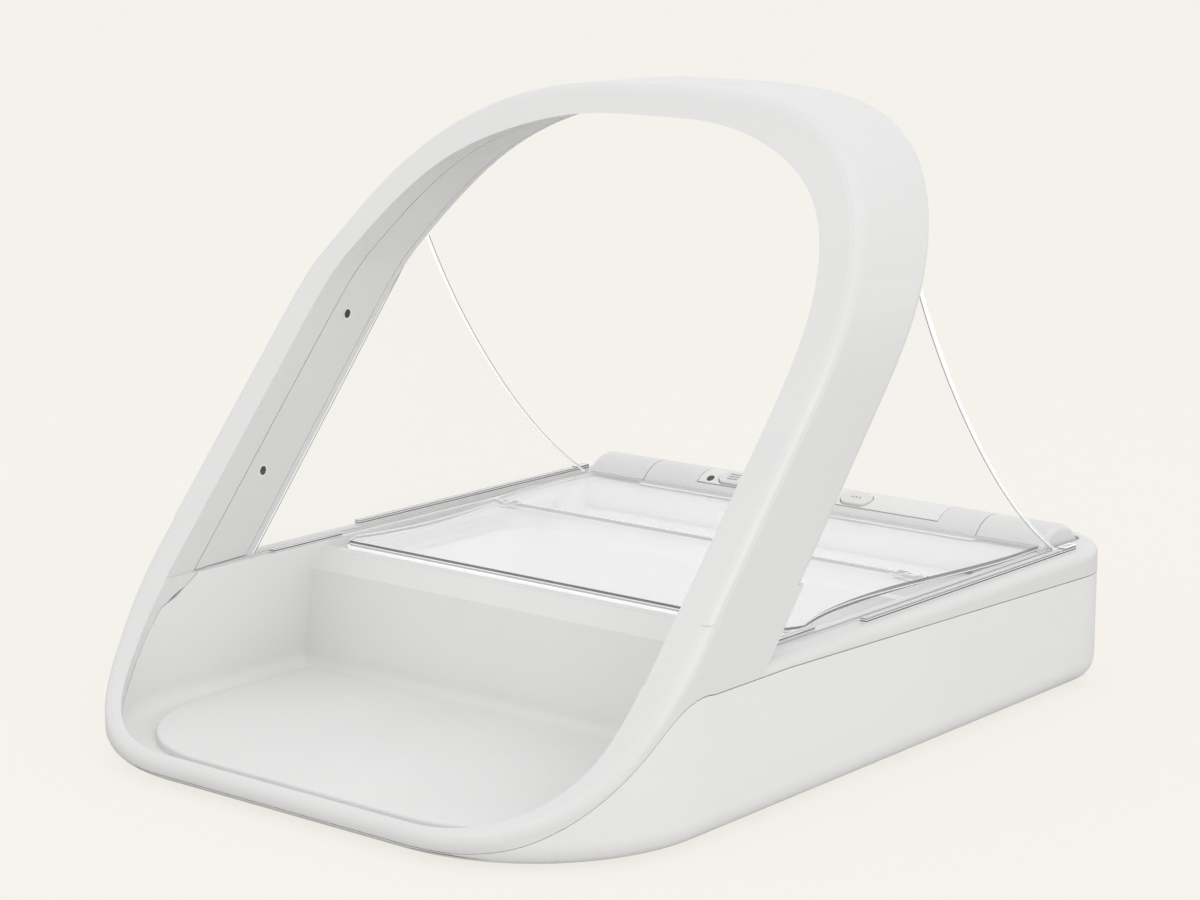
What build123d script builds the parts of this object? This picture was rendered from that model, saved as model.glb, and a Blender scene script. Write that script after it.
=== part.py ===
from build123d import *
import math
import os

os.makedirs("parts", exist_ok=True)

# ---------------------------------------------------------------- driving dimensions (mm)
HALF_W = 115.0          # half of the overall width
FRONT_Y = -157.4        # front of the base
REAR_Y = 156.5          # rear of the base
RIM_Z = 49.0            # top of the casing rim
HOOP_Z = 211.0          # top of the hoop
FOOT = 1.5              # how far the rubber feet stand proud; everything is lifted by this
WALL = 2.5              # outer casing wall
FLOOR = 2.0             # casing floor
FRONT_R = 64.0          # plan corner at the front
REAR_R = 27.0           # plan corner at the rear
BASE_FILLET = 8.0
RIM_FILLET = 4.0
GAP = 0.3               # visible joint between two static mouldings
SEAM_GAP = 0.45         # the wider parting line inside the hoop
SLIP = 0.1              # running clearance of pins and shafts
SCREW_R, SCREW_HEAD = 1.25, 2.9
POST_SPLIT = 6.0        # the screw pads of the two casings meet here
PAD_LOW = 2.0           # the pads start above the rounded lower edge

# blocks that only cut or select reach this far past the object
TALL, SPAN = HOOP_Z + 29.0, HALF_W + 15.0
FAR, AHEAD = REAR_Y + 103.5, FRONT_Y - 12.6

# the hoop leans back: its front face is a plane that curls forward near the floor
LEAN = 0.853            # rearward run for each millimetre of height
LEAN_Y = -147.3         # where the straight part would meet the floor
CURL_Z = 35.0           # the straight part ends here
TOE = (-156.4, 8.2)     # y, z of the foremost point of the front face
DEPTH = 43.4            # depth of the hoop, measured level
REAR_LEAN = 0.84
REAR_FACE_Y = LEAN_Y + DEPTH + 130 * (LEAN - REAR_LEAN)     # where the rear face would meet the floor
SEAM_BACK = 14.4        # inner parting line of the hoop, behind its front face
EDGE_STEPS = [(-3.0, 0.0), (-1.5, 0.5), (-0.4, 2.0), (0.0, 4.0)]    # the hoop's rounded edge: offset, depth
LIP_SOLID = -138.0      # in front of this the thin lip is solid

# bay and the well under the lid
SIDE_W = 13.5           # the casing's side, from its outer face to the bay
BAY_HW = HALF_W - SIDE_W
BAY_R = 48.0            # plan corner at the front of the bay
BAY_FRONT = -153.5
TRAY_WALL = 2.2
TRAY_TOP = 48.7
TRAY_UNDER, TRAY_FLOOR = 4.0, 5.2
MAT_TOP = 8.0
COVE = 6.0
DECK_Z = 36.4           # deck around the bowl
DECK_T = 1.6
DECK_REAR = 116.4
WELL_REAR = 147.0       # rear edge of the hole in the casing rim
BOWL_SIDE = 8.5         # from the bay's side to the bowl
BOWL = (BAY_HW - BOWL_SIDE, -24.5, 67.5, 9.0)     # half width, front, rear, underside
BOWL_WALL = 1.8

# lid linkage: two equal links, so the front panel folds exactly twice as far as the rear one swings
HUB_Y, HUB_Z, HUB_R = 131.0, 41.5, 14.5
SEAM_Y, SEAM_Z = 55.6, 48.6
GUIDE_Y = 2 * SEAM_Y - HUB_Y
GUIDE_Z = HUB_Z
LID_OPEN = 70.0
LID_T = 2.0
LID_FRONT_Y, LID_FRONT_Z = -24.0, 49.0
LID_SEAM_TOP = SEAM_Z + LID_T + 0.1
LID_REAR_Z = 50.2
PIN_R = 1.0
KNUCKLE_R = 2.1
GUIDE_R = 1.9
TRACK_T = 2.7           # how far the guide tracks stand out of the bay's sides
TRACK_X = BAY_HW - TRACK_T
CHEEK_X = (TRACK_X - 4.8, TRACK_X - 1.6)            # the lid's lugs that hold the guide pins
KNUCKLES = (TRACK_X - 14.8, TRACK_X - 10.8, TRACK_X - 6.8)
SHAFT_R = 2.5
HOUSING_HW = 75.0       # half length of the fixed middle of the roll
HUB_CLEAR = 1.0         # from a turning hub to the casing
HUB_END = BAY_HW + WALL - HUB_CLEAR
ROLL_WALL = 2.2
ROLL_LOW = 33.0         # the middle of the roll is open below this
LEG_LOW = 24.0          # its end walls stand on posts of this height

# gears
MODULE = 0.8
GEAR_T, PINION_T = 26, 13
GEAR_W, GEAR_CLEAR = 6.0, 3.5       # face width, and room to the battery box
PINION_Z = HUB_Z - MODULE * (GEAR_T + PINION_T) / 2
BUSH_R = 4.5

# buttons, on a flat that faces forward and up
BUTTON_ANGLE = 68.0     # up from level, seen from the front
BUTTON_X = (-36.0, -8.0, 20.0)
BUTTON_SIZE = (13.0, 7.6)
BUTTON_TOP = 15.1       # distance of the button's face from the roll's axis
BUTTON_TRAVEL = 0.8
BOARD_OFF = 6.9         # the switch board's top, from the roll's axis
BOARD_X = (-53.0, 33.0)
PANEL_X = (-51.0, 58.0)
PANEL_T = 0.9
PANEL_SWEEP = (48.0, 100.0)
LIGHT_X, LIGHT_ANGLE = -46.0, 60.0

# batteries
CELL_R, CELL_L, CELL_Z = 13.1, 50.0, 16.7
CELL_Y = (84.0, 110.7)
BOX_SIDE, BOX_LENGTH = 9.5, 59.0    # from the casing's side, and along the cells
BOX_X = (HALF_W - BOX_SIDE - BOX_LENGTH, HALF_W - BOX_SIDE)
GEAR_X = (BOX_X[0] - GEAR_CLEAR - GEAR_W, BOX_X[0] - GEAR_CLEAR)
BOX_Y = (69.2, 127.2)
BOX_TOP, BOX_LOW = 32.0, 22.8   # height at the front and at the rear edge
BOX_SLOPE = (14.6, 11.5)
BOX_WALL = 1.5
DOOR_T = 2.0
DOOR_X = (BOX_X[0] + 3.5, BOX_X[1] - 3.5)
DOOR_Y = (71.5, 123.5)
DOOR_PIN = 0.6

SENSORS = ((-14.2, 128.0), (-57.0, 78.1))   # y, z of the beams across the hoop
WINDOW_R, BEZEL_R = 1.6, 2.35
SCREW_X, FOOT_X = HALF_W - 6.9, HALF_W - 31.0
SCREWS = ((SCREW_X, -60.0), (SCREW_X, 20.0), (SCREW_X, 134.0))
FEET = ((FOOT_X, -118.0), (FOOT_X, 138.0))
BOARD_Z = 20.0          # the main board stands beside the battery boxes
BOARD_HW = BOX_X[0] - 6.5

# clear side parts, measured in from the casing's outer face
SHIELD_X = (HALF_W - 9.8, HALF_W - 7.2)
RAIL_X, CLIP_X = HALF_W - 5.8, HALF_W - 6.2
RAIL_END = HALF_W - 3.4
RAIL_Y, CLIP_END, LEDGE_Y = (-4.0, 120.0), 127.0, (-55.0, -21.0)
RAIL_H, CLIP_H = 1.4, 2.2


# ---------------------------------------------------------------- helpers
def box(x0, x1, y0, y1, z0, z1):
    """A block between two corners."""
    centre = ((x0 + x1) / 2, (y0 + y1) / 2, (z0 + z1) / 2)
    return Pos(*centre) * Box(x1 - x0, y1 - y0, z1 - z0)


def both(make):
    """One solid on the right and its mirror image on the left."""
    return [make, mirror(make, Plane.YZ)]


def rod(radius, x0, x1, y, z):
    """A round bar along X."""
    return Pos((x0 + x1) / 2, y, z) * Rot(0, 90, 0) * Cylinder(radius, x1 - x0)


def side(points, x0, x1):
    """A side-view outline of (y, z) points, drawn out along X."""
    face = make_face(Polyline(*[(0, y, z) for y, z in points], close=True))
    return Pos(x0, 0, 0) * extrude(face, amount=x1 - x0, dir=(1, 0, 0))


def plan(half_w, front, rear, front_r, rear_r):
    """Plan outline with round corners, as a face at z = 0."""
    face = make_face(Polyline((-half_w, front), (half_w, front), (half_w, rear), (-half_w, rear), close=True))
    ends = face.vertices()
    face = fillet([v for v in ends if v.Y < front + 1], front_r)
    return fillet([v for v in face.vertices() if v.Y > rear - 1], rear_r)


def prism(face, z0, z1):
    return Pos(0, 0, z0) * extrude(face, amount=z1 - z0, dir=(0, 0, 1))


def behind_front(back):
    """Everything behind the hoop's front face moved back by a distance."""
    top = (0, LEAN_Y + LEAN * TALL + back, TALL)
    knee = (0, LEAN_Y + LEAN * CURL_Z + back, CURL_Z)
    toe = (0, TOE[0] + back, TOE[1])
    ahead, base = (0, toe[1] - 6, toe[2] - 2.2), (0, toe[1] - 6, -5)
    edges = [Line(top, knee), TangentArc(knee, toe, tangent=(0, -LEAN, -1)), Line(toe, ahead), Line(ahead, base),
             Line(base, (0, FAR, -5)), Line((0, FAR, -5), (0, FAR, TALL)), Line((0, FAR, TALL), top)]
    return side_region(edges)


def before_rear(inset):
    """Everything in front of the hoop's rear face, less an inset."""
    y0 = REAR_FACE_Y - inset
    points = [(AHEAD, -5), (y0 - 5 * REAR_LEAN, -5), (y0 + TALL * REAR_LEAN, TALL), (AHEAD, TALL)]
    return side(points, -SPAN, SPAN)


def arch_points(half, pairs):
    """Points of an arch from shares of its half width and drops below the hoop's top."""
    return [(half * share, HOOP_Z - drop) for share, drop in pairs]


LEG_FRONT, LEG_REAR = 13.0, 9.0     # width of a leg at its front and rear face
OUTER = arch_points(HALF_W, [(1.0, 87.0), (0.973, 59.5), (0.8748, 34.5), (0.7357, 17.2), (0.5435, 6.0),
                             (0.2609, 0.6)])
INNER_FRONT = arch_points(HALF_W - LEG_FRONT, [(1.0, 99.0), (0.9578, 57.5), (0.7941, 31.0), (0.5686, 17.7),
                                               (0.2745, 10.6), (0.0, 9.8)])
INNER_REAR = arch_points(HALF_W - LEG_REAR, [(1.0, 97.0), (0.9585, 57.5), (0.8047, 30.0), (0.5755, 15.0),
                                             (0.2736, 8.0), (0.0, 7.2)])


def pushed(points, out):
    """Profile points of an arch moved outwards from the opening."""
    moved = []
    for x, z in points:
        dx, dz = (1.0, 0.0) if z < HOOP_Z - 81 else (x / (HALF_W - 10), (z - HOOP_Z + 101) / 95)
        size = math.hypot(dx, dz)
        moved.append((x + out * dx / size, z + out * dz / size))
    return moved


def arch_face(points, top, share, low):
    """A section of the hoop or of its opening, in a plane that leans back."""
    lean = LEAN + (REAR_LEAN - LEAN) * share
    y0 = LEAN_Y + share * (REAR_FACE_Y - LEAN_Y)
    place = lambda x, z: (x, y0 + lean * z, z)
    right = [place(x, z) for x, z in points]
    left = [place(-x, z) for x, z in reversed(points)]
    arch = Spline(right + [place(0, top)] + left, tangents=((0, lean, 1), (0, -lean, -1)))
    w = points[0][0]
    foot = Polyline(left[-1], place(-w, low), place(w, low), right[0])
    return make_face([arch, foot])


def hoop_body(steps, low=30.0):
    """The hoop without its opening, through (outward offset, distance behind the front face) steps."""
    return loft([arch_face(pushed(OUTER, out), HOOP_Z + out, dist / DEPTH, low) for out, dist in steps], ruled=True)


def opening(out, low=RIM_Z):
    """The void through the hoop: its sides open out a little towards the rear."""
    def blend(share):
        pairs = zip(pushed(INNER_FRONT, out), pushed(INNER_REAR, out))
        return [(a[0] + (b[0] - a[0]) * share, a[1] + (b[1] - a[1]) * share) for a, b in pairs]

    shares = (-0.35, 1.35)
    return loft([arch_face(blend(s)[:-1], blend(s)[-1][1], s, low) for s in shares], ruled=True)


def side_region(edges):
    """A closed side-view outline of edges in the YZ plane, drawn across the whole width."""
    return Pos(-SPAN, 0, 0) * extrude(make_face(edges), amount=2 * SPAN, dir=(1, 0, 0))


def above(points, start, lift=0.0):
    """Everything above a side-view curve; the first points up to 'start' are joined smoothly."""
    pts = [(0, y, z + lift) for y, z in points]
    curve = [Spline(pts[:start]), Polyline(pts[start - 1:])]
    first, last = pts[0], pts[-1]
    frame = Polyline(last, (0, FAR, last[2]), (0, FAR, TALL), (0, -FAR, TALL), (0, -FAR, first[2]), first)
    return side_region(curve + [frame])


PARTING = [(-153.0, 3.2), (-140.2, 10.5), (-128.0, 20.0), (-114.5, 32.5), (-103.0, 42.5), (-88.0, 45.0),
           (-50.0, 45.1), (REAR_Y + 3.5, 38.6)]
TRAY_LINE = [(-152.0, 6.2), (-140.0, 10.5), (-122.0, 25.5), (-108.0, 39.9), (-101.5, 42.3), (-91.0, RIM_Z),
             (REAR_Y + 3.5, RIM_Z)]


# ---------------------------------------------------------------- casing
def envelope():
    """The whole outside of the casing as one solid."""
    face = plan(HALF_W, FRONT_Y, REAR_Y, FRONT_R, REAR_R)

    def block(top):
        raw = prism(face, 0, top)
        return fillet([e for e in raw.edges() if e.center().Z < 0.1], BASE_FILLET) & behind_front(0)

    def curl(solid, top):
        return [e for e in solid.edges() if 8.5 < e.center().Z < top - 0.1 and abs(e.center().X) > 60]

    base = block(RIM_Z)
    rim = [e for e in base.edges() if e.center().Z > RIM_Z - 0.1 and e.center().Y > -104]
    base = fillet(rim + curl(base, RIM_Z), RIM_FILLET)
    legs = block(70)
    legs = fillet(curl(legs, 70), RIM_FILLET) & before_rear(0) & box(-SPAN, SPAN, -FAR, 50, RIM_Z - 5, 70)
    back = [(out, DEPTH - dist) for out, dist in reversed(EDGE_STEPS)]
    hoop = hoop_body(EDGE_STEPS + back) & box(-SPAN, SPAN, -FAR, FAR, 66, TALL)
    return base + legs + hoop


def cavity():
    """The hollow inside the casing and the hoop."""
    face = plan(HALF_W - WALL, FRONT_Y + WALL, REAR_Y - WALL, FRONT_R - WALL, REAR_R - WALL)
    low = prism(face, FLOOR, RIM_Z - WALL)
    low = fillet([e for e in low.edges() if e.center().Z < FLOOR + 0.1], BASE_FILLET - WALL)
    hoop = hoop_body([(-WALL, 1.4 * WALL), (-WALL, DEPTH - 1.4 * WALL)]) & prism(face, 40, TALL)
    low = low & behind_front(2.4 * WALL) & box(-SPAN, SPAN, LIP_SOLID, FAR, 0, RIM_Z + 11)
    inside = low + hoop
    wall = bay_prism(WALL) & above(TRAY_LINE, 4, -WALL)
    return inside - opening(WALL, RIM_Z - WALL) - wall


def bay_prism(out, z0=-1.0, z1=RIM_Z):
    """The bay and the well together in plan, offset outwards."""
    ahead = out if out < 1 else 0.55 * out
    return prism(plan(BAY_HW + out, BAY_FRONT - ahead, WELL_REAR, BAY_R + out, 6), z0, z1 + 1)


def casing_shell():
    line = above(TRAY_LINE, 4)
    cut_above = bay_prism(0) & line
    cut_below = bay_prism(WALL, FLOOR) - line
    lining = opening(WALL + 0.02) & behind_front(SEAM_BACK - SEAM_GAP) & before_rear(1.4 * WALL)
    return envelope() - cavity() - opening(0) - cut_above - cut_below - lining


def posts(radius, hole, z0, z1, hole_top):
    """Screw posts with a pilot hole from below."""
    parts = []
    for x, y in SCREWS:
        post = Pos(x, y, (z0 + z1) / 2) * Cylinder(radius, z1 - z0)
        post -= Pos(x, y, (z0 + hole_top) / 2) * Cylinder(hole, hole_top - z0)
        parts += both(post)
    return parts


def upper_casing(shell):
    top = shell & above(PARTING, 6)
    for post in posts(3.4, SCREW_R, POST_SPLIT + GAP, RIM_Z - WALL + 0.5, 18):
        top += post
    return [main_solid(top)]


def main_solid(shape):
    """The largest solid of a shape, without loose slivers."""
    return max(shape.solids(), key=lambda piece: piece.volume)


def battery_profile(inset):
    """Side-view outline of the battery compartment, which slopes under the roll."""
    run, fall = BOX_SLOPE
    length = math.hypot(run, fall)
    y0, y1, top = BOX_Y[0] + inset, BOX_Y[1] - inset, BOX_TOP - inset
    corner = BOX_Y[1] - run * (BOX_TOP - BOX_LOW) / fall + inset * (run - length) / fall
    low = BOX_LOW + inset * (fall - length) / run
    return [(y0, -1), (y0, top), (corner, top), (y1, low), (y1, -1)]


def lower_casing(shell):
    low = shell - above(PARTING, 6, -GAP)
    low = main_solid(low)
    for box_side in both(side(battery_profile(0), *BOX_X) & box(0, 130, 0, 200, 0.5, 60)):
        low += box_side
    for hollow in both(side(battery_profile(BOX_WALL), BOX_X[0] + BOX_WALL, BOX_X[1] - BOX_WALL)
                       & box(0, 130, 0, 200, DOOR_T, 60)):
        low -= hollow
    for door in both(box(DOOR_X[0] - 0.4, DOOR_X[1] + 0.4, DOOR_Y[0] - 0.4, DOOR_Y[1] + 0.4, -1, DOOR_T + 0.1)):
        low -= door
    for pin in both(rod(DOOR_PIN + SLIP, DOOR_X[0] - 2, DOOR_X[1] + 2, DOOR_Y[0] + 1, 1)):
        low -= pin
    for x, y in SCREWS:
        for post in both(Pos(x, y, (POST_SPLIT + PAD_LOW) / 2) * Cylinder(4.2, POST_SPLIT - PAD_LOW)):
            low += post
        for hole in both(Pos(x, y, 5) * Cylinder(SCREW_R + 0.3, 10)):
            low -= hole
        for sink in both(Pos(x, y, 1.5) * Cylinder(SCREW_HEAD + 0.3, 4)):
            low -= sink
    for leg in both(box(HOUSING_HW - 4.5, HOUSING_HW + 1.5, HUB_Y - 3, HUB_Y + 5, 1.0, LEG_LOW)):
        low += leg
    for x, y in FEET:
        for foot in both(Pos(x, y, 0) * Cylinder(7, 2)):
            low -= foot
    for rib in both(box(20, 22, -140, 60, 1, TRAY_UNDER)) + both(box(70, 72, -125, -40, 1, TRAY_UNDER)):
        low += rib
    for y in (79, 107):
        for stand in both(box(BOARD_HW - 7, BOARD_HW - 2, y, y + 4, 1, BOARD_Z)):
            low += stand
    for pad in both(box(BOX_X[0] + 13.5, BOX_X[1] - 15.5, BOX_Y[0] + 4.8, BOX_Y[0] + 8.8, BOX_TOP - 0.5,
                        DECK_Z - DECK_T)):
        low += pad
    return [main_solid(low)]


def hoop_inner_trim():
    """The lining of the opening, from the parting line back to the rear face."""
    band = opening(WALL, RIM_Z + GAP) - opening(0, RIM_Z - 1)
    band = band & behind_front(SEAM_BACK) & before_rear(1.4 * WALL + GAP)
    for y, z in SENSORS:
        band -= rod(BEZEL_R, -SPAN, SPAN, y, z)
    return [main_solid(band)]


def sensors():
    """Windows, their pale rings and the small boards behind them."""
    windows, rings, boards = [], [], []
    hollow = opening(0)
    x0, x1 = HALF_W - 20, HALF_W - 7.4
    for y, z in SENSORS:
        ring = rod(BEZEL_R, x0, x1, y, z) - rod(WINDOW_R, 0, SPAN, y, z) - hollow
        windows += both(main_solid(rod(WINDOW_R, x0, x1, y, z) - hollow))
        rings += both(main_solid(ring))
        boards += both(box(x1, x1 + 1.6, y - 5, y + 5, z - 4, z + 4))
    return windows, rings, boards


def antenna_coil():
    band = opening(WALL + 2.4, 55) - opening(WALL + 0.3, 54)
    return [main_solid(band & behind_front(33) & before_rear(5))]


# ---------------------------------------------------------------- tray, mat and bowl
def tray():
    outer = prism(plan(BAY_HW + TRAY_WALL, BAY_FRONT - 1.1, DECK_REAR, BAY_R + TRAY_WALL, 3), TRAY_UNDER, TRAY_TOP)
    outer -= above(TRAY_LINE, 4, -GAP)
    face = plan(BAY_HW, BAY_FRONT, 40, BAY_R, 5)
    wall = [(-200, TRAY_FLOOR), (-41.6, TRAY_FLOOR), (-36, 40), (-31.5, 46.6), (-31.5, 90), (-200, 90)]
    bay = prism(face, TRAY_FLOOR, 60) & side(wall, -SPAN, SPAN)
    bay = fillet([e for e in bay.edges() if e.center().Z < TRAY_FLOOR + 0.1], COVE)
    well = box(-BAY_HW, BAY_HW, -27.8, 140, DECK_Z, 60)
    under = DECK_Z - DECK_T
    below = side([(-39.3, 0), (-39.3, 6), (-33.6, under), (FAR, under), (FAR, 0)], -SPAN, SPAN)
    body = outer - bay - well - below
    hole = prism(plan(BOWL[0] + 0.4, BOWL[1] - 0.4, BOWL[2] + 0.4, 14, 14), DECK_Z - 5, DECK_Z + 1)
    body = body - hole
    body -= box(-BAY_HW, BAY_HW, -33, -20, 46.8, 60)
    for bar in both(track_bar()):
        body += bar
    return [main_solid(body)]


def track_bar():
    """The slot that guides the front pins of the lid."""
    bar = box(TRACK_X, BAY_HW + 0.1, -27.9, 98, DECK_Z - 0.1, 45.4)
    slot = box(TRACK_X - 1, BAY_HW - 0.3, GUIDE_Y - GUIDE_R - 0.6, 96, GUIDE_Z - GUIDE_R - SLIP,
               GUIDE_Z + GUIDE_R + SLIP)
    return bar - slot


def mat():
    piece = prism(plan(BAY_HW - 8.0, BAY_FRONT + 6.5, -48.0, BAY_R + 2, 5), TRAY_FLOOR, MAT_TOP)
    piece = fillet([e for e in piece.edges() if e.center().Z > MAT_TOP - 0.1], 1.0)
    return [piece]


def bowl():
    half, front, rear, under = BOWL
    outer = prism(plan(half, front, rear, 14, 14), under, DECK_Z + 1.2)
    outer = fillet([e for e in outer.edges() if e.center().Z < under + 0.1], 11)
    flange = prism(plan(half + 4.4, front - 3, rear + 3.4, 17, 17), DECK_Z, DECK_Z + 1.2)
    t = BOWL_WALL
    inner = prism(plan(half - t, front + t, rear - t, 14 - t, 14 - t), under + t, DECK_Z + 2)
    inner = fillet([e for e in inner.edges() if e.center().Z < under + t + 0.1], 11 - t)
    return [outer + flange - inner]


# ---------------------------------------------------------------- lid
def lid_outline():
    """Plan outline of both lid panels together."""
    edge = [(BAY_HW - 4.0, -18), (BAY_HW - 9.0, 20), (BAY_HW - 5.3, 56), (BAY_HW - 0.5, 112)]
    right = Spline(edge)
    left = Spline([(-x, y) for x, y in reversed(edge)])
    (nose_x, nose_y), (tail_x, tail_y) = edge[0], edge[-1]
    tip = nose_x - 2.5
    nose = Polyline((-nose_x, nose_y), (-tip, LID_FRONT_Y), (tip, LID_FRONT_Y), (nose_x, nose_y))
    rear = Polyline((tail_x, tail_y), (tail_x, HUB_Y - 5), (-tail_x, HUB_Y - 5), (-tail_x, tail_y))
    return make_face([right, rear, left, nose])


def plate(y0, z0, y1, z1):
    """A lid plate between two top edges in side view."""
    return side([(y0, z0 - LID_T), (y0, z0), (y1, z1), (y1, z1 - LID_T)], -HALF_W, HALF_W)


def knuckle(x0, x1, towards):
    """A hinge knuckle at the seam with its web towards one panel."""
    y0, y1 = sorted((SEAM_Y, SEAM_Y + towards * 5))
    return rod(KNUCKLE_R, x0, x1, SEAM_Y, SEAM_Z) + box(x0, x1, y0, y1, SEAM_Z, SEAM_Z + KNUCKLE_R)


def lid_front_panel():
    edge = SEAM_Y - 0.5
    body = plate(LID_FRONT_Y, LID_FRONT_Z, edge, LID_SEAM_TOP)
    body += box(-HALF_W, HALF_W, LID_FRONT_Y, LID_FRONT_Y + 3, LID_FRONT_Z - 4, LID_FRONT_Z - 1)
    body &= prism(lid_outline(), 40, 60)
    for gap in both(rod(KNUCKLE_R + 0.35, KNUCKLES[1] - 4.3, KNUCKLES[2] + 0.3, SEAM_Y, SEAM_Z)):
        body -= gap
    cheek = rod(3.0, *CHEEK_X, GUIDE_Y, GUIDE_Z) + box(*CHEEK_X, GUIDE_Y - 3, GUIDE_Y + 3, GUIDE_Z, 47.6)
    cheek -= rod(GUIDE_R, CHEEK_X[0] - 4, CHEEK_X[1] + 4, GUIDE_Y, GUIDE_Z)
    for piece in both(cheek):
        body += piece
    for piece in both(knuckle(KNUCKLES[0], KNUCKLES[1] - 0.2, -1)):
        body += piece
    for hole in both(rod(PIN_R + 0.08, KNUCKLES[0] - 1, KNUCKLES[1], SEAM_Y, SEAM_Z)):
        body -= hole
    return [main_solid(body)]


def lid_rear_panel():
    body = plate(SEAM_Y + 0.5, LID_SEAM_TOP, 122, LID_REAR_Z) & prism(lid_outline(), 40, 60)
    body -= rod(HUB_R + 1.1, -HOUSING_HW - 0.4, HOUSING_HW + 0.4, HUB_Y, HUB_Z)
    for gap in both(rod(KNUCKLE_R + 0.35, KNUCKLES[0] - 0.3, KNUCKLES[1] + 4.3, SEAM_Y, SEAM_Z)):
        body -= gap
    for piece in both(knuckle(KNUCKLES[1] + 0.2, KNUCKLES[2], 1)):
        body += piece
    for hole in both(rod(PIN_R, KNUCKLES[1] - 1, KNUCKLES[2] + 1, SEAM_Y, SEAM_Z)):
        body -= hole
    return [main_solid(body)]


def lid_hub(panel):
    """The turning end of the roll, slotted for the lid panel."""
    hub = rod(HUB_R, HOUSING_HW + 0.4, HUB_END, HUB_Y, HUB_Z)
    hub = fillet([e for e in hub.edges() if e.center().X > HUB_END - 0.1], 2.0)
    return [main_solid(hub - rod(SHAFT_R, 60, SPAN, HUB_Y, HUB_Z) - panel)]


# ---------------------------------------------------------------- roll, drive and controls
def at_angle(x, angle, radius):
    """A frame on the roll's surface: its z axis points outwards at an angle above level."""
    a = math.radians(angle)
    out = (0, -math.cos(a), math.sin(a))
    origin = (x, HUB_Y + out[1] * radius, HUB_Z + out[2] * radius)
    return Plane(origin=origin, x_dir=(1, 0, 0), z_dir=out)


def oval(grow, x, z0, z1):
    """An oval block on the button face, between two distances from the roll's axis."""
    long, short = BUTTON_SIZE[0] + 2 * grow, BUTTON_SIZE[1] + 2 * grow
    return at_angle(x, BUTTON_ANGLE, z0) * extrude(SlotOverall(long, short), amount=z1 - z0)


def housing_shell(outer, inner, x0, x1):
    return rod(outer, x0, x1, HUB_Y, HUB_Z) - rod(inner, x0 - 1, x1 + 1, HUB_Y, HUB_Z)


def sweep_sector(angle0, angle1, x0, x1):
    """A wedge about the roll's axis between two angles above level, seen from the front."""
    def ray(angle):
        a = math.radians(angle)
        return (HUB_Y - 40 * math.cos(a), HUB_Z + 40 * math.sin(a))
    return side([(HUB_Y, HUB_Z), ray(angle0), ray((angle0 + angle1) / 2), ray(angle1)], x0, x1)


def control_housing():
    shell = housing_shell(HUB_R, HUB_R - ROLL_WALL, -HOUSING_HW, HOUSING_HW)
    shell &= box(-SPAN, SPAN, 100, 160, ROLL_LOW, 80)
    for end in both(rod(HUB_R, HOUSING_HW - 2.4, HOUSING_HW, HUB_Y, HUB_Z)
                    + box(HOUSING_HW - 2.4, HOUSING_HW, HUB_Y - 3, HUB_Y + 3, LEG_LOW, 32)):
        shell += end
    for hole in both(rod(BUSH_R, 60, 90, HUB_Y, HUB_Z)):
        shell -= hole
    pocket = housing_shell(HUB_R + 1, HUB_R - PANEL_T - 0.1, *PANEL_X)
    shell -= pocket & sweep_sector(*PANEL_SWEEP, PANEL_X[0] - 1, PANEL_X[1] + 1)
    for x in BUTTON_X:
        shell -= oval(0.35, x, 8, 20)
    shell -= at_angle(LIGHT_X, LIGHT_ANGLE, 8) * Pos(0, 0, 5) * Cylinder(1.6, 10)
    return [main_solid(shell)]


def control_panel():
    low, high = PANEL_SWEEP
    skin = housing_shell(HUB_R, HUB_R - PANEL_T, PANEL_X[0] + 0.3, PANEL_X[1] - 0.3)
    skin &= sweep_sector(low + 2.2, high - 1.2, PANEL_X[0], PANEL_X[1])
    for x in BUTTON_X:
        skin -= oval(0.35, x, 8, 20)
    skin -= at_angle(LIGHT_X, LIGHT_ANGLE, 8) * Pos(0, 0, 5) * Cylinder(1.6, 10)
    return [main_solid(skin)]


def button(x):
    cap = oval(0.0, x, 10.0, BUTTON_TOP)
    cap = fillet(at_top(cap, x), 0.5)
    return [cap + oval(1.0, x, BOARD_OFF + 2.1, 10.3)]


def at_top(solid, x):
    face_plane = at_angle(x, BUTTON_ANGLE, BUTTON_TOP)
    return [e for e in solid.edges() if abs(face_plane.to_local_coords(e.center()).Z) < 0.05]


def control_board():
    """Switch board under the buttons, with a small dome for each."""
    x0, x1 = BOARD_X
    plane = at_angle((x0 + x1) / 2, BUTTON_ANGLE, BOARD_OFF - 1.6)
    board = plane * extrude(Rectangle(x1 - x0, 19.4), amount=1.6)
    for x in BUTTON_X:
        board += at_angle(x, BUTTON_ANGLE, BOARD_OFF - 0.2) * extrude(Circle(3), amount=1.2)
    return [board]


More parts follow.
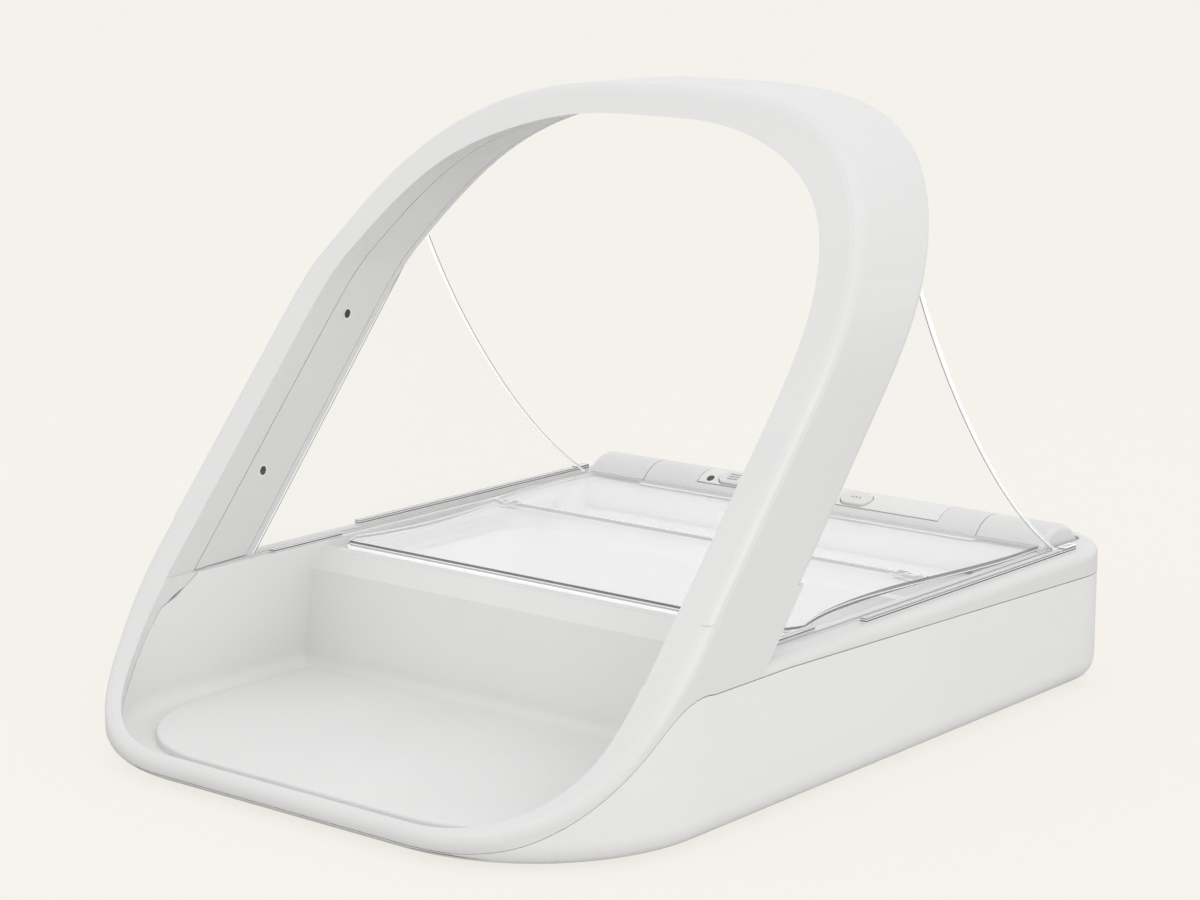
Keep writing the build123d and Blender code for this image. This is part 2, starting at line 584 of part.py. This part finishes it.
def gear(teeth, x0, x1, y, z, bore, phase):
    """Spur gear about X with involute flanks; one tooth points at the phase angle."""
    pitch = MODULE * teeth / 2
    press = math.radians(25)
    base, tip, root = pitch * math.cos(press), pitch + 0.75 * MODULE, pitch - 1.15 * MODULE
    inv = lambda r: math.tan(math.acos(base / r)) - math.acos(base / r) if r > base else 0.0
    half = math.pi / (2 * teeth) - 0.05 / pitch
    edges = []
    ring = lambda r, a: (r * math.cos(a), r * math.sin(a))
    step = 2 * math.pi / teeth
    for k in range(teeth):
        mid = math.radians(phase) + k * step
        radii = [max(root, base), (max(root, base) + tip) / 2, tip]
        lag = [half + inv(pitch) - inv(r) for r in radii]
        up = [ring(r, mid - a) for r, a in zip(radii, lag)]
        down = [ring(r, mid + a) for r, a in zip(reversed(radii), reversed(lag))]
        foot_in, foot_out = ring(root, mid - lag[0]), ring(root, mid + lag[0])
        if base > root:
            edges += [Line(foot_in, up[0]), Line(down[-1], foot_out)]
        edges += [Spline(up), Line(up[-1], down[0]), Spline(down)]
        nxt = ring(root, mid + step - lag[0])
        edges.append(ThreePointArc(foot_out, ring(root, mid + step / 2), nxt))
    face = make_face(Wire(edges))
    solid = extrude(face, amount=x1 - x0) - Pos(0, 0, 5) * Cylinder(bore, 40)
    turn = Plane(origin=(x0, y, z), x_dir=(0, 1, 0), z_dir=(1, 0, 0))
    return turn * solid


def drive():
    """Shaft, gear, pinion with its axle, gearbox and motor."""
    shaft = rod(SHAFT_R, -HUB_END + 4, HUB_END - 4, HUB_Y, HUB_Z)
    bushes = both(rod(BUSH_R, HOUSING_HW - 3.4, HOUSING_HW, HUB_Y, HUB_Z) - rod(SHAFT_R + SLIP, 60, 90, HUB_Y, HUB_Z))
    wheel = gear(GEAR_T, *GEAR_X, HUB_Y, HUB_Z, SHAFT_R, -90)
    pinion = gear(PINION_T, *GEAR_X, HUB_Y, PINION_Z, 1.0, 90 + 180 / PINION_T)
    pinion += rod(1.5, GEAR_X[0] - 13, GEAR_X[1] + 2, HUB_Y, PINION_Z)
    x0, x1 = GEAR_X[0] - 27, GEAR_X[0] - 3
    box_solid = box(x0, x1, HUB_Y - 12, HUB_Y + 12, FLOOR, 32) - rod(1.5 + SLIP, x0 + 13.9, x1 + 6, HUB_Y, PINION_Z)
    motor = rod(10, x0 - 44, x0, HUB_Y, 15) + rod(3, x0 - 46, x0 - 44, HUB_Y, 15)
    return shaft, bushes, wheel, pinion, box_solid, motor


# ---------------------------------------------------------------- clear side parts
def side_shield():
    at = lambda z: (0, REAR_FACE_Y + REAR_LEAN * z + 0.05, z)
    top, low = (0, 30.5, 151.5), (0, 121.0, RIM_Z + 0.5)
    sweep_line = Spline([top, (0, 46, 125), (0, 67, 97), (0, 92, 71), low])
    rest = Polyline(low, (0, low[1], RIM_Z), at(RIM_Z), at(153), top)
    return Pos(SHIELD_X[0], 0, 0) * extrude(make_face([sweep_line, rest]), amount=SHIELD_X[1] - SHIELD_X[0],
                                            dir=(1, 0, 0))


def side_rail():
    """The clear strip with its clip along the rim, and the short one on the tray's wall."""
    strip = box(RAIL_X, RAIL_END, *RAIL_Y, RIM_Z, RIM_Z + RAIL_H)
    clip = box(CLIP_X, RAIL_END, RAIL_Y[1], CLIP_END, RIM_Z, RIM_Z + CLIP_H)
    ledge = box(BAY_HW, BAY_HW + TRAY_WALL, *LEDGE_Y, TRAY_TOP, TRAY_TOP + RAIL_H)
    return [strip + clip, ledge]


# ---------------------------------------------------------------- batteries
def battery_pack():
    """Cells, end contacts and springs on the right; the left side mirrors them."""
    cells, contacts, springs = [], [], []
    x0, x1 = BOX_X[0] + BOX_WALL, BOX_X[1] - BOX_WALL
    for y in CELL_Y:
        start = x0 + 3.6
        cells.append(rod(CELL_R, start, start + CELL_L - 1.5, y, CELL_Z)
                     + rod(3.4, start + CELL_L - 1.5, start + CELL_L, y, CELL_Z))
        contacts.append(box(x1 - 0.4, x1, y - 6, y + 6, CELL_Z - 6, CELL_Z + 6))
        contacts.append(box(x0, x0 + 0.4, y - 6, y + 6, CELL_Z - 6, CELL_Z + 6))
        coil = Helix(pitch=1.5, height=2.4, radius=4.2)
        wire = sweep((coil ^ 0) * Circle(0.35), path=coil)
        springs.append(Pos(x0 + 0.8, y, CELL_Z) * Rot(0, 90, 0) * wire)
    return cells, contacts, springs


def battery_door():
    x0, x1 = DOOR_X
    leaf = box(x0, x1, DOOR_Y[0] + 1, DOOR_Y[1], 0, DOOR_T) + rod(1.0, x0, x1, DOOR_Y[0] + 1, 1.0)
    leaf += rod(DOOR_PIN, x0 - 1.8, x1 + 1.8, DOOR_Y[0] + 1, 1.0)
    return leaf


def casing_screws():
    screws = []
    for x, y in SCREWS:
        head = Pos(x, y, 2.5) * Cylinder(SCREW_HEAD, 2.0)
        screws += both(head + Pos(x, y, 9) * Cylinder(SCREW_R, 13))
    return screws


def rubber_feet():
    return [foot for x, y in FEET for foot in both(Pos(x, y, (1 - FOOT) / 2) * Cylinder(7, 1 + FOOT))]


def main_board():
    half = BOARD_HW
    board = box(-half, half, 76, 112, BOARD_Z, BOARD_Z + 1.6)
    blocks = ((10 - half, 82, 16, 16, 2.0), (5, 84, 10, 8, 3.0), (half - 18, 98, 12, 8, 6.0), (-10, 102, 8, 5, 2.5))
    for x0, y0, dx, dy, dz in blocks:
        board += box(x0, x0 + dx, y0, y0 + dy, BOARD_Z + 1.5, BOARD_Z + 1.6 + dz)
    return [board]


# ---------------------------------------------------------------- assembly
def nodes():
    shell = casing_shell()
    windows, rings, boards = sensors()
    shaft, bushes, wheel, pinion, gearbox, motor = drive()
    cells, contacts, springs = battery_pack()
    rear_panel = lid_rear_panel()
    hub = lid_hub(rear_panel[0])
    shield, rail, leaf = side_shield(), side_rail(), battery_door()
    door = both(leaf)
    twice = lambda pieces: [half for piece in pieces for half in both(piece)]
    return {
        "upper_casing": upper_casing(shell), "lower_casing": lower_casing(shell),
        "hoop_inner_trim": hoop_inner_trim(), "antenna_coil": antenna_coil(),
        "sensor_windows": windows, "sensor_rings": rings, "sensor_boards": boards,
        "food_tray": tray(), "mat": mat(), "bowl": bowl(),
        "lid_front_panel": lid_front_panel(), "lid_rear_panel": rear_panel,
        "lid_hinge_pins": both(rod(PIN_R, KNUCKLES[0], KNUCKLES[2], SEAM_Y, SEAM_Z)),
        "lid_guide_pins": both(rod(GUIDE_R, CHEEK_X[0], TRACK_X + 2.0, GUIDE_Y, GUIDE_Z)),
        "lid_hub_right": hub, "lid_hub_left": [mirror(hub[0], Plane.YZ)],
        "drive_shaft": [shaft], "shaft_bushes": bushes, "drive_gear": [wheel], "motor_pinion": [pinion],
        "gearbox": [gearbox], "motor": [motor],
        "control_housing": control_housing(), "control_panel": control_panel(),
        "button_left": button(BUTTON_X[0]), "button_middle": button(BUTTON_X[1]), "button_right": button(BUTTON_X[2]),
        "status_light": [at_angle(LIGHT_X, LIGHT_ANGLE, 10.3) * Pos(0, 0, 2.1) * Cylinder(1.5, 4.2)],
        "control_board": control_board(), "main_board": main_board(),
        "side_shield_right": [shield], "side_shield_left": [mirror(shield, Plane.YZ)],
        "side_rail_right": rail, "side_rail_left": [mirror(piece, Plane.YZ) for piece in rail],
        "battery_cells": twice(cells), "battery_contacts": twice(contacts), "battery_springs": twice(springs),
        "battery_door_right": [door[0]], "battery_door_left": [door[1]],
        "casing_screws": casing_screws(), "rubber_feet": rubber_feet(),
    }


def write_parts():
    for name, solids in nodes().items():
        group = Compound(children=[Pos(0, 0, FOOT) * solid for solid in solids])
        export_step(group, f"parts/{name}.step")


write_parts()
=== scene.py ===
import math

import bpy
from mathutils import Matrix, Vector


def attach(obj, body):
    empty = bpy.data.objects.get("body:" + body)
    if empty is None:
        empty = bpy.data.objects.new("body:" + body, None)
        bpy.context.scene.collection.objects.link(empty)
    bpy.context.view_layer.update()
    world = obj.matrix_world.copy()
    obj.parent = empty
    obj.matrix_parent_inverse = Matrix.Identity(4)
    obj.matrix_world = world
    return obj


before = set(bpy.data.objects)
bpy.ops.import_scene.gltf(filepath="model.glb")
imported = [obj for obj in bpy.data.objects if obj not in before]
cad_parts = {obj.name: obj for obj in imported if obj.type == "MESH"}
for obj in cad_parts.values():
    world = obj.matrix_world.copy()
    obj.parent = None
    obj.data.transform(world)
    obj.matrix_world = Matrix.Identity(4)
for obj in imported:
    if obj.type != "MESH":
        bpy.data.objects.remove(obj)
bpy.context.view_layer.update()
scene = bpy.context.scene

MM = 0.001
LIFT = 1.5          # the rubber feet stand this far proud of the casing
WHITE_LIGHT = (1.0, 1.0, 1.0, 1.0)
PAPER = (0.913, 0.888, 0.839, 1.0)      # the flat, warm ground and background

# the buttons on the rear roll, in millimetres above the casing's underside
ROLL_Y, ROLL_Z = 131.0, 41.5
BUTTON_FACE = 15.1                      # from the roll's axis to a button's face
BUTTON_ANGLE = math.radians(68)         # how far above level the buttons look
BUTTON_X = {"button_left": -36.0, "button_middle": -8.0, "button_right": 20.0}


def point(x, y, z):
    """Millimetres above the casing's underside, as metres in the frame."""
    return Vector((x * MM, y * MM, (z + LIFT) * MM))


def place(name, data):
    """A new object of the scene."""
    obj = bpy.data.objects.new(name, data)
    scene.collection.objects.link(obj)
    return obj


# ------------------------------------------------------------------ nodes
def new_material(name):
    mat = bpy.data.materials.new(name)
    mat.use_nodes = True
    return mat, mat.node_tree, mat.node_tree.nodes["Principled BSDF"]


def add(tree, kind, **values):
    """A node with its plain settings and the default values of its inputs."""
    node = tree.nodes.new(kind)
    for key, value in values.items():
        if key in node.inputs:
            node.inputs[key].default_value = value
        else:
            setattr(node, key, value)
    return node


def feed(tree, inputs, values):
    """Gives each input its value, or links it to another node's output."""
    for socket, value in zip(inputs, values):
        if isinstance(value, bpy.types.NodeSocket):
            tree.links.new(value, socket)
        else:
            socket.default_value = value


def maths(tree, operation, *values):
    node = add(tree, "ShaderNodeMath", operation=operation)
    feed(tree, node.inputs, values)
    return node.outputs[0]


def remap(tree, value, span, low, high):
    """Maps a span of the value to the range from low to high, held at its ends."""
    node = add(tree, "ShaderNodeMapRange")
    feed(tree, node.inputs, (value, *span, low, high))
    return node.outputs[0]


def mixed(tree, share, first, second):
    """The first colour where the share is 0, the second where it is 1."""
    node = add(tree, "ShaderNodeMix", data_type="RGBA")
    feed(tree, (node.inputs[0], node.inputs[6], node.inputs[7]), (share, first, second))
    return node.outputs[2]


def noise(tree, scale, detail=3.0):
    coord = add(tree, "ShaderNodeTexCoord")
    node = add(tree, "ShaderNodeTexNoise", Scale=scale, Detail=detail, Roughness=0.55)
    tree.links.new(coord.outputs["Object"], node.inputs["Vector"])
    return node.outputs["Fac"]


def spread(tree, value, low, high):
    """Maps the middle of a noise to a range."""
    return remap(tree, value, (0.3, 0.7), low, high)


def ray(tree, kind):
    return add(tree, "ShaderNodeLightPath").outputs[kind]


def shade(colour, by):
    return tuple(min(1.0, c * by) for c in colour) + (1.0,)


def relief(tree, shader, height, strength, distance):
    bump = add(tree, "ShaderNodeBump", Strength=strength, Distance=distance)
    tree.links.new(height, bump.inputs["Height"])
    tree.links.new(bump.outputs[0], shader.inputs["Normal"])


# ------------------------------------------------------------------ materials
def surface(name, colour, rough, vary=0.03, grain=900, grain_depth=0.00002, metallic=0.0, coat=0.0, cloud=14):
    """A moulded surface: soft colour clouds, uneven gloss and a fine grain."""
    mat, tree, shader = new_material(name)
    clouds = spread(tree, noise(tree, cloud), 0.0, 1.0)
    base = mixed(tree, clouds, shade(colour, 1.0 - vary), shade(colour, 1.0 + vary))
    tree.links.new(base, shader.inputs["Base Color"])
    gloss = spread(tree, noise(tree, cloud * 5, 4.0), rough - 0.06, rough + 0.06)
    tree.links.new(gloss, shader.inputs["Roughness"])
    relief(tree, shader, noise(tree, grain, 2.0), 0.35, grain_depth)
    shader.inputs["Metallic"].default_value = metallic
    shader.inputs["Coat Weight"].default_value = coat
    return mat


def clear(name, tint, across, painted_edge_light, span, see=0.9):
    """A clear sheet that light passes. It turns pale at a flat angle, a painted reflection, and its cut edges carry
    painted highlights and dark lines and glow with them.

    across is the axis (0 is X, 2 is Z) through the sheet, painted_edge_light are the painted greys of highlight and
    dark line over a span along that axis, and see is how much passes where the sheet is looked at squarely."""
    mat, tree, shader = new_material(name)
    coord = add(tree, "ShaderNodeTexCoord")
    turned, at = add(tree, "ShaderNodeSeparateXYZ"), add(tree, "ShaderNodeSeparateXYZ")
    tree.links.new(coord.outputs["Normal"], turned.inputs[0])
    tree.links.new(coord.outputs["Object"], at.inputs[0])
    face = remap(tree, maths(tree, "ABSOLUTE", turned.outputs[across]), (0.6, 0.95), 0.0, 1.0)

    # painted highlights and dark lines on the cut edges, as greys along the axis through the sheet
    edge_light_ramp = add(tree, "ShaderNodeValToRGB")
    while len(edge_light_ramp.color_ramp.elements) < len(painted_edge_light):
        edge_light_ramp.color_ramp.elements.new(0.5)
    for stop, (position, grey) in zip(edge_light_ramp.color_ramp.elements, painted_edge_light):
        stop.position = position
        stop.color = (grey, grey, grey, 1.0)
    tree.links.new(remap(tree, maths(tree, "ABSOLUTE", at.outputs[across]), span, 0.0, 1.0), edge_light_ramp.inputs[0])

    cloudy = mixed(tree, spread(tree, noise(tree, 9.0), 0.0, 1.0), shade(tint, 0.97), shade(tint, 1.0))
    # edge faces take the painted highlight and dark-line greys, flat faces the sheet's tint
    tree.links.new(mixed(tree, face, edge_light_ramp.outputs[0], cloudy), shader.inputs["Base Color"])
    # painted glow: the cut edges emit their painted greys, the edge faces most, the flat faces not at all
    tree.links.new(edge_light_ramp.outputs[0], shader.inputs["Emission Color"])
    tree.links.new(remap(tree, face, (0.0, 1.0), 0.4, 0.0), shader.inputs["Emission Strength"])
    tree.links.new(spread(tree, noise(tree, 30.0, 4.0), 0.06, 0.11), shader.inputs["Roughness"])
    relief(tree, shader, noise(tree, 22.0, 1.0), 0.1, 0.00004)

    # painted reflection: the sheet grows less clear and paler where it is seen at a flat angle
    slant = add(tree, "ShaderNodeLayerWeight", Blend=0.5).outputs["Facing"]
    veil = remap(tree, slant, (0.5, 0.9), 1.0 - see, 0.64)
    body = remap(tree, face, (0.0, 1.0), 0.9, veil)
    shadow = remap(tree, ray(tree, "Is Shadow Ray"), (0.0, 1.0), 1.0, 0.2)
    tree.links.new(maths(tree, "MULTIPLY", body, shadow), shader.inputs["Alpha"])
    return mat


SMOOTH = {"vary": 0.012, "grain": 1400, "grain_depth": 0.000012}
# painted highlights and dark lines on the cut edges of the clear parts, as (position, grey) along the span
LID_PAINTED_EDGE_LIGHT = ((0.0, 0.8), (0.28, 0.9), (0.34, 0.3), (0.40, 0.35), (0.45, 0.85), (0.49, 0.15), (0.61, 0.07),
             (0.66, 0.85), (0.72, 0.2), (0.87, 0.13), (0.94, 0.9))
SIDE_PAINTED_EDGE_LIGHT = ((0.0, 0.18), (0.14, 0.2), (0.2, 0.85), (0.75, 0.9), (1.0, 0.7))

# each look and the CAD nodes that wear it
LOOKS = (
    (surface("white casing", (0.675, 0.675, 0.672), 0.34, **SMOOTH),
     "upper_casing control_housing lid_hub_left lid_hub_right"),
    (surface("white lower casing", (0.74, 0.74, 0.735), 0.36, **SMOOTH),
     "lower_casing battery_door_left battery_door_right"),
    (surface("lining", (0.67, 0.67, 0.665), 0.38, **SMOOTH), "hoop_inner_trim"),
    (surface("tray", (0.74, 0.74, 0.735), 0.4, vary=0.015, grain=1200, grain_depth=0.000015), "food_tray"),
    (surface("soft mat", (0.72, 0.72, 0.715), 0.62, vary=0.02, grain=2200, grain_depth=0.00003), "mat"),
    # a white bowl whose colour is raised to a painted brightness, standing in for the strong light under the clear lid
    (surface("bowl", (0.92, 0.92, 0.915), 0.3, vary=0.012), "bowl"),
    (clear("clear lid", (0.99, 0.995, 0.995), 2, LID_PAINTED_EDGE_LIGHT, (0.0465, 0.0525)), "lid_front_panel lid_rear_panel"),
    (clear("clear side", (0.93, 0.93, 0.92), 0, SIDE_PAINTED_EDGE_LIGHT, (0.1052, 0.1078), 0.95),
     "side_shield_left side_shield_right"),
    (clear("clear strip", (0.93, 0.93, 0.92), 2, LID_PAINTED_EDGE_LIGHT, (0.049, 0.0526), 0.6),
     "side_rail_left side_rail_right"),
    (surface("steel", (0.55, 0.55, 0.56), 0.32, vary=0.05, metallic=1.0, grain=3000),
     "lid_hinge_pins lid_guide_pins drive_shaft motor casing_screws battery_contacts battery_springs"),
    (surface("dark lens", (0.02, 0.017, 0.02), 0.18, vary=0.1, coat=0.4), "sensor_windows status_light"),
    (surface("pale ring", (0.74, 0.73, 0.71), 0.4, vary=0.02), "sensor_rings"),
    (surface("board", (0.03, 0.16, 0.07), 0.5, vary=0.12, cloud=60), "sensor_boards control_board main_board"),
    (surface("brass", (0.62, 0.45, 0.18), 0.3, vary=0.05, metallic=1.0), "shaft_bushes"),
    (surface("copper", (0.55, 0.25, 0.12), 0.35, vary=0.06, metallic=1.0), "antenna_coil"),
    (surface("gear", (0.72, 0.69, 0.6), 0.45), "drive_gear motor_pinion gearbox"),
    (surface("button", (0.70, 0.70, 0.69), 0.45, vary=0.02, grain=2000), "button_left button_middle button_right"),
    (surface("cell", (0.06, 0.07, 0.09), 0.3, vary=0.1, coat=0.3), "battery_cells"),
    (surface("rubber", (0.035, 0.035, 0.035), 0.8, vary=0.15, grain=2600, grain_depth=0.00005), "rubber_feet"),
    (surface("panel", (0.74, 0.74, 0.73), 0.42, vary=0.012, grain=1800), "control_panel"),
)
for look, names in LOOKS:
    for name in names.split():
        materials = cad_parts[name].data.materials
        materials.clear()
        materials.append(look)


# ------------------------------------------------------------------ raised marks on the buttons
def on_button(x, along, down, height):
    """A point at a button: along the roll, down the face towards the front, and above the face."""
    cos, sin = math.cos(BUTTON_ANGLE), math.sin(BUTTON_ANGLE)
    reach = BUTTON_FACE + height
    return point(x + along, ROLL_Y - cos * reach - sin * down, ROLL_Z + sin * reach - cos * down)


def crowned_bar(x, along, down, half, radius):
    """Points and faces of one small bar with round ends and a low crown."""
    count, verts = 20, []
    for shrink, height in ((1.0, -0.05), (0.92, 0.08), (0.55, 0.12)):
        for i in range(count):
            a = 2 * math.pi * (i + 0.5) / count
            end = math.copysign(half, math.cos(a))
            size = radius * shrink
            verts.append(on_button(x, along + end + size * math.cos(a), down + size * math.sin(a), height))
    faces = [tuple(reversed(range(count))), tuple(range(2 * count, 3 * count))]
    for low in (0, count):
        for i in range(count):
            j = (i + 1) % count
            faces.append((low + i, low + j, low + count + j, low + count + i))
    return verts, faces


def button_mark(node, x, bars, look):
    """The raised bars of one button, which ride on it."""
    verts, faces = [], []
    for bar in bars:
        new_verts, new_faces = crowned_bar(x, *bar)
        faces += [tuple(len(verts) + i for i in face) for face in new_faces]
        verts += new_verts
    mesh = bpy.data.meshes.new(node + "_mark")
    mesh.from_pydata(verts, [], faces)
    mesh.validate()
    mesh.materials.append(look)
    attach(place(node + "_mark", mesh), node + "_body")


# bars as (along, down, half length, radius)
BARS = {
    "button_left": [(0, down, 2.2, 0.28) for down in (-1.5, 0, 1.5)],
    "button_middle": [(0, 0, 2.4, 0.4)],
    "button_right": [(along, 0, 0.05, 0.45) for along in (-1.6, 0, 1.6)],
}
mark_grey = surface("button mark", (0.30, 0.30, 0.30), 0.5, vary=0.06, cloud=80)
for name, x in BUTTON_X.items():
    button_mark(name, x, BARS[name], mark_grey)


# ------------------------------------------------------------------ stage
def ground(half=9.0, seen=0.862, bounced=0.35):
    """A wide floor that keeps a soft shadow on the flat ground colour, and is open to a camera below it."""
    mesh = bpy.data.meshes.new("ground")
    mesh.from_pydata([(-half, -half, 0), (half, -half, 0), (half, half, 0), (-half, half, 0)], [], [(0, 1, 2, 3)])
    mat = surface("floor", (0.12, 0.117, 0.112), 0.9, vary=0.004, cloud=2.0)
    mesh.materials.append(mat)
    tree = mat.node_tree
    shader = tree.nodes["Principled BSDF"]
    camera_ray = ray(tree, "Is Camera Ray")
    dark = shader.inputs["Base Color"].links[0].from_socket
    tree.links.new(mixed(tree, camera_ray, (0.5, 0.5, 0.495, 1.0), dark), shader.inputs["Base Color"])
    shader.inputs["Specular IOR Level"].default_value = 0.0
    shader.inputs["Emission Color"].default_value = PAPER
    glow = maths(tree, "MULTIPLY_ADD", ray(tree, "Is Diffuse Ray"), bounced, maths(tree, "MULTIPLY", camera_ray, seen))
    tree.links.new(glow, shader.inputs["Emission Strength"])
    below = maths(tree, "MULTIPLY", add(tree, "ShaderNodeNewGeometry").outputs["Backfacing"], camera_ray)
    tree.links.new(maths(tree, "SUBTRACT", 1.0, below), shader.inputs["Alpha"])
    place("ground", mesh)


ground()


# ------------------------------------------------------------------ light
def lamp(name, where, target, size, power):
    data = bpy.data.lights.new(name, "AREA")
    data.shape = "DISK"
    data.size = size
    data.energy = power
    holder = place(name, data)
    holder.location = where
    holder.rotation_euler = (Vector(target) - Vector(where)).to_track_quat("-Z", "Y").to_euler()


lamp("key", (-0.4, -1.5, 1.6), (0, 0, 0.05), 1.6, 2.5)
lamp("fill", (1.9, -0.6, 1.1), (0, 0, 0.05), 1.6, 9)
lamp("top", (0.1, 0.3, 2.2), (0, 0, 0), 2.0, 1.5)

world = scene.world or bpy.data.worlds.new("world")
scene.world = world
world.use_nodes = True
sky = world.node_tree.nodes["Background"]
sky_colour = mixed(world.node_tree, ray(world.node_tree, "Is Camera Ray"), WHITE_LIGHT, PAPER)
world.node_tree.links.new(sky_colour, sky.inputs["Color"])
sky.inputs["Strength"].default_value = 1.0

# ------------------------------------------------------------------ camera
AZIMUTH, ELEVATION, ROLL = math.radians(39.0167), math.radians(11.33865), math.radians(0.16182)
camera_data = bpy.data.cameras.new("camera")
camera_data.sensor_width = 36.0
camera_data.lens = 87.67
camera = place("camera", camera_data)
turn = Matrix.Rotation(AZIMUTH, 4, "Z") @ Matrix.Rotation(math.pi / 2 - ELEVATION, 4, "X")
turn = turn @ Matrix.Rotation(ROLL, 4, "Z")
camera.matrix_world = Matrix.Translation(point(609.916, -753.065, 284.242)) @ turn
scene.camera = camera
scene.view_settings.view_transform = "Standard"
